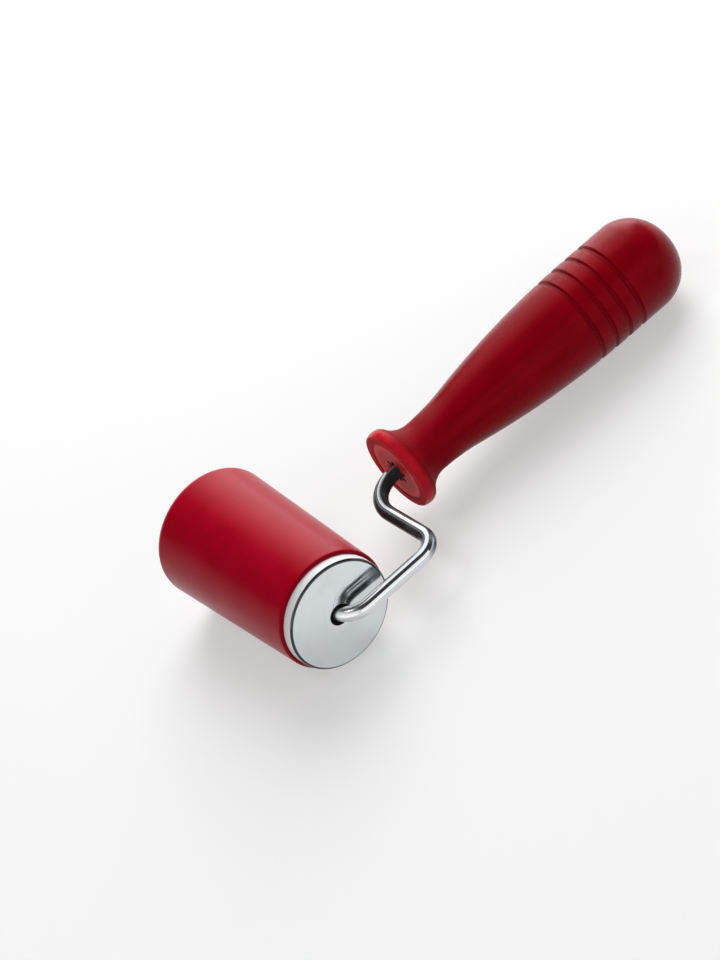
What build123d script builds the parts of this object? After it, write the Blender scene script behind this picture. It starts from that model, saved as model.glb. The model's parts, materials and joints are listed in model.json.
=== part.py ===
# Hand roller for dough: a tapered roller on a bent wire, with a moulded handle on the wire's tail.
# It lies on its roller and on the butt of its handle, the floor at z = 0 and the handle along +X.
import os
from math import asin, atan, atan2, cos, degrees, hypot, pi, radians, sin, sqrt, tan

from build123d import *

os.makedirs("parts", exist_ok=True)

# Fits
snug = 0.05
run_clearance = 0.06
end_float = 0.25

# Roller sleeve and the core tube that carries it
sleeve_length = 63.4
sleeve_near_dia = 38.2
sleeve_far_dia = 42.1
sleeve_near_round = 1.0
sleeve_far_round = 2.5
round_share = 0.9
sleeve_lip = 1.1
core_wall = 2.0
handle_shift = 3.5

# Pressed end caps
cap_wall = 0.9
cap_round = 1.0
cap_tuck = 4.0
cap_hole_dia = 7.0
near_cap_stand = 3.6
far_cap_stand = 1.0

# Hubs and flanged bushes
hub_web = 3.0
hub_rim_length = 7.0
hub_rim_wall = 2.2
hub_boss_wall = 2.6
bush_dia = 8.0
bush_length = 9.0
bush_flange_dia = 11.5
bush_flange_thickness = 1.0

# Washers and push nuts
washer_dia = 10.5
washer_thickness = 0.8
nut_dia = 11.0
nut_thickness = 1.4
nut_slot_dia = 7.6
nut_slot_width = 0.9
nut_slot_pairs = 3
nut_stick_out = 1.3
axle_end_gap = 0.8

# Bent wire
rod_dia = 4.8
rod_chamfer = 0.5
crossing_gap = 14.45
crossing_rise = 0.8
leg_gap = 4.9
leg_lean = 0.5
bend_at_handle = 12.2
bend_at_leg = 7.2
bend_at_axle = 7.7
ear_reach = 3.15
ear_thickness = 1.2
ear_length = 1.4
ear_gap = 0.4

# Handle outline, measured from the flat face of its flange
face_gap = 13.05
handle_length = 114.1
flange_dia = 27.85
flange_round = 0.45
flange_crown = 5.0
flange_crest = 2.2
flange_back_round = 3.1
neck_dia = 17.7
neck_at = 12.1
neck_hollow = 80.0
grip_dia = 30.95
grip_band = 16.0
butt_inset = 2.1
butt_nose_angle = 5.0

# Grooves round the grip; the last one hides the joint of the butt cap
groove_count = 4
groove_pitch = 5.7
groove_setback = 10.4
groove_mouth = 1.6
groove_floor = 0.9
groove_depth = 0.7

# Inside of the handle
grip_wall = 2.8
bulkhead_at = 38.0
butt_wall = 2.4
spigot_gap = 0.3
tail_washer_dia = 14.0
tail_stick_out = 3.0

# Front plug with its star-shaped hole
plug_dia = 20.8
plug_recess = 0.2
plug_thickness = 3.0
plug_boss_dia = 11.0
plug_boss_length = 9.0
star_dia = 8.2
star_slot_width = 1.5
star_slot_pairs = 4
star_depth = 6.0
key_gap = 1.2
key_reach = 3.7
key_thickness = 1.1
key_length = 3.5

# Radii
rod_r = rod_dia / 2
near_r = sleeve_near_dia / 2
far_r = sleeve_far_dia / 2
cap_r = near_r - sleeve_lip - snug
core_r = cap_r - cap_wall - snug
hub_r = core_r - core_wall - snug
bush_r = bush_dia / 2
bush_bore_r = rod_r + run_clearance
flange_r = flange_dia / 2
neck_r = neck_dia / 2
grip_r = grip_dia / 2
plug_r = plug_dia / 2
plug_boss_r = plug_boss_dia / 2
rod_seat_r = rod_r + snug

# Places along the handle's axis, from the roller's axis towards the butt
crossing_reach = far_r + crossing_gap
face_reach = crossing_reach + face_gap
leg_reach = crossing_reach + crossing_rise
leg_slope = leg_lean / leg_reach

# Places along the roller's axis, from the handle's axis towards the free end
near_end = handle_shift - sleeve_length / 2
far_end = near_end + sleeve_length
near_face = near_end - near_cap_stand
far_face = far_end + far_cap_stand
leg_foot = near_face - leg_gap
leg_top = leg_foot + leg_lean
bend_end = leg_foot + bend_at_axle * tan((pi / 2 + atan(leg_slope)) / 2)
ear_from = max(near_face + cap_wall, bend_end) + ear_gap
shoulder = ear_from + ear_length
near_bush_face = shoulder + washer_thickness + end_float
near_hub_face = near_bush_face + bush_flange_thickness
axle_end = far_face - cap_wall - axle_end_gap
nut_face = axle_end - nut_stick_out - nut_thickness
far_bush_face = nut_face - washer_thickness - end_float
far_hub_face = far_bush_face - bush_flange_thickness

# Places along the handle, from the flange's face
butt_corner = grip_r - butt_inset
butt_nose = butt_corner + butt_inset / sin(radians(butt_nose_angle))
dome_from = handle_length - butt_nose + (butt_nose - butt_corner) * cos(radians(butt_nose_angle))
grip_from = dome_from - grip_band
last_groove = dome_from - groove_setback
body_end = last_groove - groove_floor / 2
mouth_depth = plug_recess + plug_thickness
boss_end = mouth_depth + plug_boss_length
key_from = plug_recess + key_gap
tail_nut_at = bulkhead_at + washer_thickness
tail_end = tail_nut_at + nut_thickness + tail_stick_out

# The flange's rim is a crown that starts at the rounded edge of the face and is widest at its crest
crown_turn = asin((flange_crest - flange_round) / (flange_crown - flange_round))
face_r = flange_r - flange_crown + (flange_crown - flange_round) * cos(crown_turn)

# Each S-curve of the outline is two tangent arcs that turn by the same angle
flange_turn = 2 * atan((flange_r - neck_r) / (neck_at - flange_crest))
neck_fillet = (neck_at - flange_crest) / sin(flange_turn) - flange_back_round
body_turn = 2 * atan((grip_r - neck_r) / (grip_from - neck_at))
body_arc = (grip_from - neck_at) / sin(body_turn) - neck_hollow

# At rest the cone's underside and the butt's corner arc both touch the floor
cone_angle = atan((far_r - near_r) / sleeve_length)
axis_height = (near_r - near_end * tan(cone_angle)) * cos(cone_angle)
butt_reach = face_reach + dome_from
tilt = asin((axis_height - butt_corner) / hypot(butt_reach, butt_inset)) - atan2(butt_inset, butt_reach)
roller_way = Vector(0, cos(cone_angle), sin(cone_angle))
handle_drop = -sin(tilt)
handle_side = -handle_drop * tan(cone_angle)
handle_way = Vector(sqrt(1 - handle_side**2 - handle_drop**2), handle_side, handle_drop)

# Reach of the object along X and Y from where the two axes cross, to set the origin in its middle
x_low = -(far_r - sleeve_far_round * (tan(cone_angle) + 1 / cos(cone_angle) - 1))
x_high = (face_reach + handle_length - butt_nose) * handle_way.X + butt_nose
bend_y = leg_foot + bend_at_axle * (leg_slope + hypot(1, leg_slope))
bend_out = bend_at_axle * hypot(handle_way.Y, roller_way.Y) + rod_r
y_low = bend_at_axle * handle_way.Y + bend_y * roller_way.Y - bend_out
y_high = (far_face - cap_round) * roller_way.Y + (cap_r - cap_round) * roller_way.Z + cap_round

# Working planes: the tool's own plane, and planes whose first axis runs along the handle or the roller
tool = Plane(
    origin=(-(x_low + x_high) / 2, -(y_low + y_high) / 2, axis_height),
    x_dir=handle_way,
    z_dir=handle_way.cross(roller_way),
)
grip = Plane(origin=tool.origin + handle_way * face_reach, x_dir=handle_way, z_dir=tool.z_dir)
spin = Plane(origin=tool.origin, x_dir=roller_way, z_dir=tool.z_dir)
grip_axis = Axis(grip.origin, handle_way)
spin_axis = Axis(spin.origin, roller_way)


def across(line, along):
    # Plane square to an axis at a distance along it
    return Plane(origin=line.position + line.direction * along, x_dir=tool.z_dir, z_dir=line.direction)


def cap_outline(face, inward, hole_r, skirt):
    # Cup section: flat face, wall thickness and a skirt of the given length
    inner_r = cap_r - cap_wall
    steps = [(0, hole_r), (0, cap_r), (skirt, cap_r), (skirt, inner_r), (cap_wall, inner_r), (cap_wall, hole_r)]
    return [(face + inward * along, radius) for along, radius in steps]


def hub_outline(face, inward):
    # Webbed disc section with a rim in the core tube and a boss round the bush
    seat_r = bush_r + snug
    boss_r = seat_r + hub_boss_wall
    rim_r = hub_r - hub_rim_wall
    steps = [(0, seat_r), (0, hub_r), (hub_rim_length, hub_r), (hub_rim_length, rim_r), (hub_web, rim_r)]
    steps += [(hub_web, boss_r), (bush_length, boss_r), (bush_length, seat_r)]
    return [(face + inward * along, radius) for along, radius in steps]


def bush_outline(face, inward):
    # Flanged bush section, its flange outside the hub and its barrel in the boss
    flange = bush_flange_thickness
    end = flange + bush_length
    flange_edge = bush_flange_dia / 2
    steps = [(0, bush_bore_r), (0, flange_edge), (flange, flange_edge)]
    steps += [(flange, bush_r), (end, bush_r), (end, bush_bore_r)]
    return [(face + inward * along, radius) for along, radius in steps]


def grip_radius(at):
    # Radius of the handle's outline behind the neck's hollow
    before_band = max(grip_from - at, 0)
    return grip_r - body_arc + sqrt(body_arc**2 - before_band**2)


def groove_outline(at):
    # Groove section: flat floor and slanted walls, carried a groove depth past the surface
    surface = grip_radius(at)
    half_floor = groove_floor / 2
    half_top = groove_mouth - half_floor
    floor_r = surface - groove_depth
    top_r = surface + groove_depth
    return [(at - half_floor, floor_r), (at + half_floor, floor_r), (at + half_top, top_r), (at - half_top, top_r)]


# Roller sleeve: tapered tube, stepped at both ends for the skirts of the caps
with BuildPart() as roller_sleeve:
    with BuildSketch(spin):
        with BuildLine():
            bore_r = core_r + snug
            seat_r = cap_r + snug
            Polyline(
                (near_end, seat_r),
                (near_end, near_r),
                (far_end, far_r),
                (far_end, seat_r),
                (far_end - cap_tuck, seat_r),
                (far_end - cap_tuck, bore_r),
                (near_end + cap_tuck, bore_r),
                (near_end + cap_tuck, seat_r),
                close=True,
            )
        make_face()
    revolve(axis=spin_axis)
    near_edge = roller_sleeve.edges().group_by(spin_axis)[0].sort_by(SortBy.RADIUS)[-1]
    fillet(near_edge, min(sleeve_near_round, round_share * sleeve_lip))
    far_edge = roller_sleeve.edges().group_by(spin_axis)[-1].sort_by(SortBy.RADIUS)[-1]
    fillet(far_edge, min(sleeve_far_round, round_share * (far_r - seat_r)))
roller_sleeve.part.label = "roller_sleeve"
export_step(roller_sleeve.part, "parts/roller_sleeve.step")

# Core tube: runs from the inside of one cap to the inside of the other
with BuildPart() as roller_core:
    with BuildSketch(across(spin_axis, near_face + cap_wall)):
        Circle(core_r)
        Circle(core_r - core_wall, mode=Mode.SUBTRACT)
    extrude(amount=far_face - near_face - 2 * cap_wall)
roller_core.part.label = "roller_core"
export_step(roller_core.part, "parts/roller_core.step")

# Near cap: polished cup with a hole that the wire passes through
with BuildPart() as near_end_cap:
    with BuildSketch(spin):
        with BuildLine():
            Polyline(*cap_outline(near_face, 1, cap_hole_dia / 2, near_cap_stand + cap_tuck), close=True)
        make_face()
    revolve(axis=spin_axis)
    fillet(near_end_cap.edges().group_by(spin_axis)[0].sort_by(SortBy.RADIUS)[-1], cap_round)
near_end_cap.part.label = "near_end_cap"
export_step(near_end_cap.part, "parts/near_end_cap.step")

# Far cap: the same cup without a hole, set deeper in the sleeve
with BuildPart() as far_end_cap:
    with BuildSketch(spin):
        with BuildLine():
            Polyline(*cap_outline(far_face, -1, 0, far_cap_stand + cap_tuck), close=True)
        make_face()
    revolve(axis=spin_axis)
    fillet(far_end_cap.edges().group_by(spin_axis)[-1].sort_by(SortBy.RADIUS)[-1], cap_round)
far_end_cap.part.label = "far_end_cap"
export_step(far_end_cap.part, "parts/far_end_cap.step")

# Hubs: pressed into the two ends of the core tube
with BuildPart() as near_hub:
    with BuildSketch(spin):
        with BuildLine():
            Polyline(*hub_outline(near_hub_face, 1), close=True)
        make_face()
    revolve(axis=spin_axis)
near_hub.part.label = "near_hub"
export_step(near_hub.part, "parts/near_hub.step")

with BuildPart() as far_hub:
    with BuildSketch(spin):
        with BuildLine():
            Polyline(*hub_outline(far_hub_face, -1), close=True)
        make_face()
    revolve(axis=spin_axis)
far_hub.part.label = "far_hub"
export_step(far_hub.part, "parts/far_hub.step")

# Bushes: plain bearings between the hubs and the axle
with BuildPart() as near_bush:
    with BuildSketch(spin):
        with BuildLine():
            Polyline(*bush_outline(near_bush_face, 1), close=True)
        make_face()
    revolve(axis=spin_axis)
near_bush.part.label = "near_bush"
export_step(near_bush.part, "parts/near_bush.step")

with BuildPart() as far_bush:
    with BuildSketch(spin):
        with BuildLine():
            Polyline(*bush_outline(far_bush_face, -1), close=True)
        make_face()
    revolve(axis=spin_axis)
far_bush.part.label = "far_bush"
export_step(far_bush.part, "parts/far_bush.step")

# Shoulder washer: lies between the axle's ears and the near bush
with BuildPart() as shoulder_washer:
    with BuildSketch(across(spin_axis, shoulder)):
        Circle(washer_dia / 2)
        Circle(rod_seat_r, mode=Mode.SUBTRACT)
    extrude(amount=washer_thickness)
shoulder_washer.part.label = "shoulder_washer"
export_step(shoulder_washer.part, "parts/shoulder_washer.step")

# End washer: lies between the far bush and the push nut
with BuildPart() as end_washer:
    with BuildSketch(across(spin_axis, nut_face - washer_thickness)):
        Circle(washer_dia / 2)
        Circle(rod_seat_r, mode=Mode.SUBTRACT)
    extrude(amount=washer_thickness)
end_washer.part.label = "end_washer"
export_step(end_washer.part, "parts/end_washer.step")

# Push nuts: slotted spring discs that grip the two ends of the wire
with BuildPart() as axle_push_nut:
    with BuildSketch(across(spin_axis, nut_face)):
        Circle(nut_dia / 2)
        Circle(rod_seat_r, mode=Mode.SUBTRACT)
        with PolarLocations(0, nut_slot_pairs, angular_range=180):
            SlotOverall(nut_slot_dia, nut_slot_width, mode=Mode.SUBTRACT)
    extrude(amount=nut_thickness)
axle_push_nut.part.label = "axle_push_nut"
export_step(axle_push_nut.part, "parts/axle_push_nut.step")

with BuildPart() as tail_push_nut:
    with BuildSketch(across(grip_axis, tail_nut_at)):
        Circle(nut_dia / 2)
        Circle(rod_seat_r, mode=Mode.SUBTRACT)
        with PolarLocations(0, nut_slot_pairs, angular_range=180):
            SlotOverall(nut_slot_dia, nut_slot_width, mode=Mode.SUBTRACT)
    extrude(amount=nut_thickness)
tail_push_nut.part.label = "tail_push_nut"
export_step(tail_push_nut.part, "parts/tail_push_nut.step")

# Tail washer: spreads the pull of the wire over the bulkhead in the handle
with BuildPart() as tail_washer:
    with BuildSketch(across(grip_axis, bulkhead_at)):
        Circle(tail_washer_dia / 2)
        Circle(rod_seat_r, mode=Mode.SUBTRACT)
    extrude(amount=washer_thickness)
tail_washer.part.label = "tail_washer"
export_step(tail_washer.part, "parts/tail_washer.step")

# Wire: tail in the handle, crossing, leg and axle in one round rod, with two pairs of pinched ears
with BuildPart() as frame_rod:
    with BuildLine(tool) as wire:
        FilletPolyline(
            (face_reach + tail_end, 0),
            (crossing_reach, 0),
            (leg_reach, leg_top),
            (0, leg_foot),
            (0, axle_end),
            radius=[bend_at_handle, bend_at_leg, bend_at_axle],
        )
    with BuildSketch(Plane(origin=wire.line @ 0, z_dir=wire.line % 0)):
        Circle(rod_r)
    sweep()
    chamfer(frame_rod.faces().filter_by(GeomType.PLANE).edges(), rod_chamfer)
    with BuildSketch(across(spin_axis, ear_from)):
        SlotOverall(2 * ear_reach, ear_thickness)
    extrude(amount=ear_length)
    with BuildSketch(across(grip_axis, key_from)):
        SlotOverall(2 * key_reach, key_thickness)
    extrude(amount=key_length)
frame_rod.part.label = "frame_rod"
export_step(frame_rod.part, "parts/frame_rod.step")

# Front plug: stepped disc whose star-shaped hole keys the wire
with BuildPart() as front_plug:
    with BuildSketch(grip):
        with BuildLine():
            Polyline(
                (plug_recess, rod_seat_r),
                (plug_recess, plug_r),
                (mouth_depth, plug_r),
                (mouth_depth, plug_boss_r),
                (boss_end, plug_boss_r),
                (boss_end, rod_seat_r),
                close=True,
            )
        make_face()
    revolve(axis=grip_axis)
    with BuildSketch(across(grip_axis, plug_recess)):
        with PolarLocations(0, star_slot_pairs, angular_range=180):
            SlotOverall(star_dia, star_slot_width)
    extrude(amount=star_depth, mode=Mode.SUBTRACT)
front_plug.part.label = "front_plug"
export_step(front_plug.part, "parts/front_plug.step")

# Grip body: hollow from the rear, solid at the neck but for the wire's bore and the plug's seat
with BuildPart() as grip_body:
    with BuildSketch(grip):
        with BuildLine():
            turn_out = degrees(flange_turn)
            turn_up = degrees(body_turn)
            cavity_arc = body_arc - grip_wall
            cavity_turn = degrees(asin((grip_from - bulkhead_at) / cavity_arc))
            turn_in = degrees(crown_turn)
            edge = JernArc((0, face_r), (0, 1), flange_round, turn_in - 90)
            rim = JernArc(edge @ 1, edge % 1, flange_crown, -turn_in)
            back = JernArc(rim @ 1, (1, 0), flange_back_round, -turn_out)
            fillet_in = JernArc(back @ 1, back % 1, neck_fillet, turn_out)
            hollow = JernArc(fillet_in @ 1, (1, 0), neck_hollow, turn_up)
            swell = JernArc(hollow @ 1, hollow % 1, body_arc, -turn_up)
            cavity = JernArc((grip_from, grip_r - grip_wall), (-1, 0), cavity_arc, cavity_turn)
            Polyline(
                swell @ 1,
                (last_groove - groove_mouth / 2, grip_r),
                (body_end, grip_r - groove_depth),
                (body_end, grip_r - grip_wall),
                cavity @ 0,
            )
            Polyline(
                cavity @ 1,
                (bulkhead_at, rod_seat_r),
                (boss_end, rod_seat_r),
                (boss_end, plug_boss_r + snug),
                (mouth_depth, plug_boss_r + snug),
                (mouth_depth, plug_r + snug),
                (0, plug_r + snug),
                edge @ 0,
            )
        make_face()
    revolve(axis=grip_axis)
    for step in range(1, groove_count):
        with BuildSketch(grip):
            with BuildLine():
                Polyline(*groove_outline(last_groove - step * groove_pitch), close=True)
            make_face()
        revolve(axis=grip_axis, mode=Mode.SUBTRACT)
grip_body.part.label = "grip_body"
export_step(grip_body.part, "parts/grip_body.step")

# Butt cap: hollow dome whose spigot plugs the body and whose collar is the floor of the last groove
with BuildPart() as butt_cap:
    with BuildSketch(grip):
        with BuildLine():
            spigot_r = grip_r - grip_wall - snug
            hollow_r = spigot_r - butt_wall
            spigot_from = grip_from + spigot_gap
            corner = JernArc((dome_from, grip_r), (1, 0), butt_corner, butt_nose_angle - 90)
            nose = JernArc(corner @ 1, corner % 1, butt_nose, -butt_nose_angle)
            inner_dome = JernArc((dome_from + hollow_r, 0), (0, 1), hollow_r, 90)
            Polyline(nose @ 1, inner_dome @ 0)
            Polyline(
                inner_dome @ 1,
                (spigot_from, hollow_r),
                (spigot_from, spigot_r),
                (body_end, spigot_r),
                (body_end, grip_r - groove_depth),
                (body_end + groove_floor, grip_r - groove_depth),
                (last_groove + groove_mouth / 2, grip_r),
                corner @ 0,
            )
        make_face()
    revolve(axis=grip_axis)
butt_cap.part.label = "butt_cap"
export_step(butt_cap.part, "parts/butt_cap.step")
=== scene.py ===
import json

import bmesh
import bpy
import numpy as np
from mathutils import Matrix, Vector


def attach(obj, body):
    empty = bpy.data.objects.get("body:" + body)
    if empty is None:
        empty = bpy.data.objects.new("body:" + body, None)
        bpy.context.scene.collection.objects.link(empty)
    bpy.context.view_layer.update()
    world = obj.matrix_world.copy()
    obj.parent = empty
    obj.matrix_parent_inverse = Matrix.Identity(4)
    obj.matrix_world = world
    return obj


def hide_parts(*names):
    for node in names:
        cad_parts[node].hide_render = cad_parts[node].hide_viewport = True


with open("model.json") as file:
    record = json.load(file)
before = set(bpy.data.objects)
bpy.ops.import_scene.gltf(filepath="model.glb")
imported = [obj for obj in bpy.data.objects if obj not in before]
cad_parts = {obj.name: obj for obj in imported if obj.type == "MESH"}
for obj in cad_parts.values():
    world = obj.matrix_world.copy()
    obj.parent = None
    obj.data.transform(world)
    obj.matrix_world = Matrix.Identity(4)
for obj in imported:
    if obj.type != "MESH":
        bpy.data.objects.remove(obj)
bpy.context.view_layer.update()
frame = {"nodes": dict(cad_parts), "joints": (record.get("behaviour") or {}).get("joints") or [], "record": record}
print("frame in:", len(frame["nodes"]), "nodes")

mm = 0.001  # the pieces' sizes are in mm, the scene is in metres

# the roller's hinge and the butt's band give the two axes of the tool
hinge = frame["joints"][0]
buttBand = frame["record"]["mounts"][0]
rollerSpot = np.array(hinge["pos_m"])
rollerWay = np.array(hinge["axis"]) / np.linalg.norm(hinge["axis"])
handleWay = np.array(buttBand["axis"]) / np.linalg.norm(buttBand["axis"])
planeWay = np.cross(handleWay, rollerWay)

grid = {"turns": 192,                # columns round the roller
        "gap": 0.7,                  # longest step along a straight run
        "arcStep": np.radians(7.5),  # longest step round a rounded corner
        "arcLeast": 3,               # fewest points on a rounded corner
        "inside": 0.02,              # how far a surface stays inside its solid
        "touch": 0.01,               # points this near a face count as on it
        "leastAngle": 1e-6,          # nearest that a bar's outline is taken to the bar's own line
        "digits": 4,                 # rows that agree to so many decimals are one
        "weld": 1e-7}                # in metres, points this close become one
slim = grid["inside"]


# surfaces

def roundedLine(corners, radii, loop=False):
    # straight runs between corners, each corner that has a radius swapped for a tangent arc:
    # centre + (sin((1 - t) a) first + sin(t a) last) / sin a, with t from 0 to 1 and a the turn
    corners = np.array(corners, float)
    count = len(corners)
    chains = []
    for k in range(count):
        here = corners[k]
        if radii[k] == 0:
            chains.append(here[None])
            continue
        back = corners[k - 1] - here
        on = corners[(k + 1) % count] - here
        back, on = back / np.linalg.norm(back), on / np.linalg.norm(on)
        half = np.arccos(np.clip(back @ on, -1, 1)) / 2
        turn = np.pi - 2 * half
        middle = (back + on) / np.linalg.norm(back + on)
        centre = here + middle * radii[k] / np.sin(half)
        first = here + back * radii[k] / np.tan(half) - centre
        last = here + on * radii[k] / np.tan(half) - centre
        t = np.linspace(0, 1, int(turn / grid["arcStep"]) + grid["arcLeast"])[:, None]
        chains.append(centre + (np.sin((1 - t) * turn) * first + np.sin(t * turn) * last) / np.sin(turn))
    line = []
    for k in range(count):
        line.append(chains[k])
        if k == count - 1 and not loop:
            break
        start, end = chains[k][-1], chains[(k + 1) % count][0]
        steps = max(1, int(np.ceil(np.linalg.norm(end - start) / grid["gap"])))
        line.append(start + np.linspace(0, 1, steps + 1)[1:-1, None] * (end - start))
    return np.vstack(line)


def turned(spot, way, alongs, radii, turns):
    # point(row, u) = spot + along * way + radius * (cos u * side + sin u * up),
    # where the radius may change with u
    u = np.linspace(0, 2 * np.pi, turns, endpoint=False)
    side = np.cross(planeWay, way)
    ring = np.cos(u)[:, None] * side + np.sin(u)[:, None] * planeWay
    alongs = np.asarray(alongs, float)
    radii = np.asarray(radii, float)
    radii = np.broadcast_to(radii.reshape(len(alongs), -1), (len(alongs), turns))
    points = spot + mm * (alongs[:, None, None] * way + radii[:, :, None] * ring)
    wrap = np.stack(np.broadcast_arrays(np.cos(u), np.sin(u), alongs[:, None]), -1)
    return points, {"wrap": wrap, "reach": radii}


def allRound(rowValues, points):
    # one value a row, the same in every column
    return np.broadcast_to(rowValues[:, None], points.shape[:2])


def skin(name, points, marks, poles=None):
    # columns close round; rows close round as well, or each end row runs into its own pole
    rows, columns = points.shape[:2]
    starts = np.arange(rows if poles is None else rows - 1)
    i, j = np.meshgrid(starts, np.arange(columns), indexing="ij")
    nextRow, nextColumn = (i + 1) % rows, (j + 1) % columns
    quads = np.stack([i * columns + j, i * columns + nextColumn,
                      nextRow * columns + nextColumn, nextRow * columns + j], -1).reshape(-1, 4)
    spots = points.reshape(-1, 3)
    fans = np.zeros((0, 3), int)
    if poles is not None:
        spots = np.vstack([spots, poles])
        j = np.arange(columns)
        nextColumn, base, tip = (j + 1) % columns, (rows - 1) * columns, np.full(columns, rows * columns)
        fans = np.vstack([np.stack([nextColumn, j, tip], -1),
                          np.stack([base + j, base + nextColumn, tip + 1], -1)])

    # a closed shell that faces outwards has a volume above zero
    halves = np.vstack([quads[:, [0, 1, 2]], quads[:, [0, 2, 3]], fans])
    a, b, c = (spots[halves[:, n]] - spots.mean(0) for n in range(3))
    if np.einsum("ij,ij->", a, np.cross(b, c)) < 0:
        quads, fans = quads[:, ::-1], fans[:, ::-1]

    corners = np.concatenate([quads.ravel(), fans.ravel()])
    sizes = np.concatenate([np.full(len(quads), 4), np.full(len(fans), 3)])
    mesh = bpy.data.meshes.new(name)
    mesh.vertices.add(len(spots))
    mesh.vertices.foreach_set("co", spots.astype(np.float32).ravel())
    mesh.loops.add(len(corners))
    mesh.loops.foreach_set("vertex_index", corners.astype(np.int32))
    mesh.polygons.add(len(sizes))
    mesh.polygons.foreach_set("loop_start", (np.cumsum(sizes) - sizes).astype(np.int32))
    mesh.update(calc_edges=True)
    mesh.polygons.foreach_set("use_smooth", np.ones(len(sizes), bool))
    for key, values in marks.items():
        deep = values.ndim == 3
        flat = values.reshape(rows * columns, -1)
        if poles is not None:
            atPoles = [values[row].reshape(columns, -1).mean(0) for row in (0, -1)]
            flat = np.vstack([flat, *atPoles])
        mark = mesh.attributes.new(key, "FLOAT_VECTOR" if deep else "FLOAT", "POINT")
        mark.data.foreach_set("vector" if deep else "value", flat.astype(np.float32).ravel())
    weld = bmesh.new()
    weld.from_mesh(mesh)
    bmesh.ops.remove_doubles(weld, verts=weld.verts, dist=grid["weld"])
    weld.to_mesh(mesh)
    weld.free()
    mesh.validate()
    piece = bpy.data.objects.new(name, mesh)
    bpy.context.scene.collection.objects.link(piece)
    return piece


def eased(value, low, high):
    # 0 at low and before it, 1 at high and beyond, t t (3 - 2 t) between; low may be the larger one
    t = np.clip((value - low) / (high - low), 0, 1)
    return t * t * (3 - 2 * t)


def barReach(angle, reach, thick, pairs):
    # polar outline of round-ended bars through the middle:
    # the end arc near a bar's line, half the thickness over the angle's sine beyond it
    step = np.pi / pairs
    off = np.maximum(np.abs((angle + step / 2) % step - step / 2), grid["leastAngle"])
    half = thick / 2
    middle = reach - half
    end = middle * np.cos(off) + np.sqrt(np.maximum(half**2 - (middle * np.sin(off)) ** 2, 0))
    return np.where(half / np.tan(off) > middle, end, half / np.sin(off))


def dress(piece, finish, body, slotName, *nodes):
    piece.data.materials.append(finish)
    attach(piece, body)
    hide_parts(*nodes)
    print(piece.name, len(piece.data.polygons), "faces")


# shader graph

class Tap:
    # one node output; sums on taps add Math nodes
    def __init__(self, graph, socket):
        self.graph, self.socket = graph, socket

    def maths(self, operation, first, second):
        return self.graph.add("ShaderNodeMath", {"operation": operation}, {0: first, 1: second})

    def __add__(self, other):
        return self.maths("ADD", self, other)

    def __radd__(self, other):
        return self.maths("ADD", other, self)

    def __sub__(self, other):
        return self.maths("SUBTRACT", self, other)

    def __rsub__(self, other):
        return self.maths("SUBTRACT", other, self)

    def __mul__(self, other):
        return self.maths("MULTIPLY", self, other)

    def __rmul__(self, other):
        return self.maths("MULTIPLY", other, self)


class Graph:
    def __init__(self, tree):
        self.tree = tree

    def add(self, kind, settings=None, values=None, outlet=0):
        # settings come first, then each socket gets its link or its value
        node = self.tree.nodes.new(kind)
        for key, value in (settings or {}).items():
            setattr(node, key, value)
        for key, value in (values or {}).items():
            if isinstance(value, Tap):
                self.tree.links.new(value.socket, node.inputs[key])
            else:
                node.inputs[key].default_value = value
        return Tap(self, node.outputs[outlet])

    def noise(self, vector, scale, detail, rough=0.5):
        values = {"Vector": vector, "Scale": scale, "Detail": detail, "Roughness": rough}
        return self.add("ShaderNodeTexNoise", None, values)

    def rings(self, reach, scale, detail):
        values = {"W": reach, "Scale": scale, "Detail": detail}
        return self.add("ShaderNodeTexNoise", {"noise_dimensions": "1D"}, values)

    def stretch(self, vector, factors):
        return self.add("ShaderNodeVectorMath", {"operation": "MULTIPLY"}, {0: vector, 1: factors})

    def between(self, value, low, high, first=0.0, last=1.0):
        limits = {"Value": value, "From Min": low, "From Max": high, "To Min": first, "To Max": last}
        return self.add("ShaderNodeMapRange", {"interpolation_type": "SMOOTHSTEP"}, limits)

    def tint(self, amount, first, second):
        # a Mix node's colours are its sockets 6 and 7, and their mix is its output 2
        first, second = ((*c, 1) if isinstance(c, tuple) else c for c in (first, second))
        return self.add("ShaderNodeMix", {"data_type": "RGBA"}, {0: amount, 6: first, 7: second}, 2)


class Finish(Graph):
    def __init__(self, name, fixed):
        self.material = bpy.data.materials.new(name)
        self.material.use_nodes = True
        super().__init__(self.material.node_tree)
        self.shader = self.tree.nodes["Principled BSDF"]
        for key, value in fixed.items():
            self.shader.inputs[key].default_value = value
        self.place = self.add("ShaderNodeTexCoord", outlet="Object")

    def mark(self, name, outlet="Fac"):
        return self.add("ShaderNodeAttribute", {"attribute_name": name}, outlet=outlet)

    def feed(self, **taps):
        for key, tap in taps.items():
            self.tree.links.new(tap.socket, self.shader.inputs[key.replace("_", " ")])

    def bump(self, height, strength, depth):
        values = {"Strength": strength, "Distance": depth, "Height": height}
        return self.add("ShaderNodeBump", None, values, "Normal")


noiseMiddle = 0.5


def mixed(first, second, share):
    # first * share + second * (1 - share)
    return first * share + second * (1 - share)


def sway(noise, amount):
    # how far a noise is off its middle, times the amount
    return (noise - noiseMiddle) * amount


# finishes; a noise is its scale, its detail and sometimes its roughness, a patch is the two values
# that it runs between and what it makes of them, a bump is its strength and its depth in metres

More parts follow.
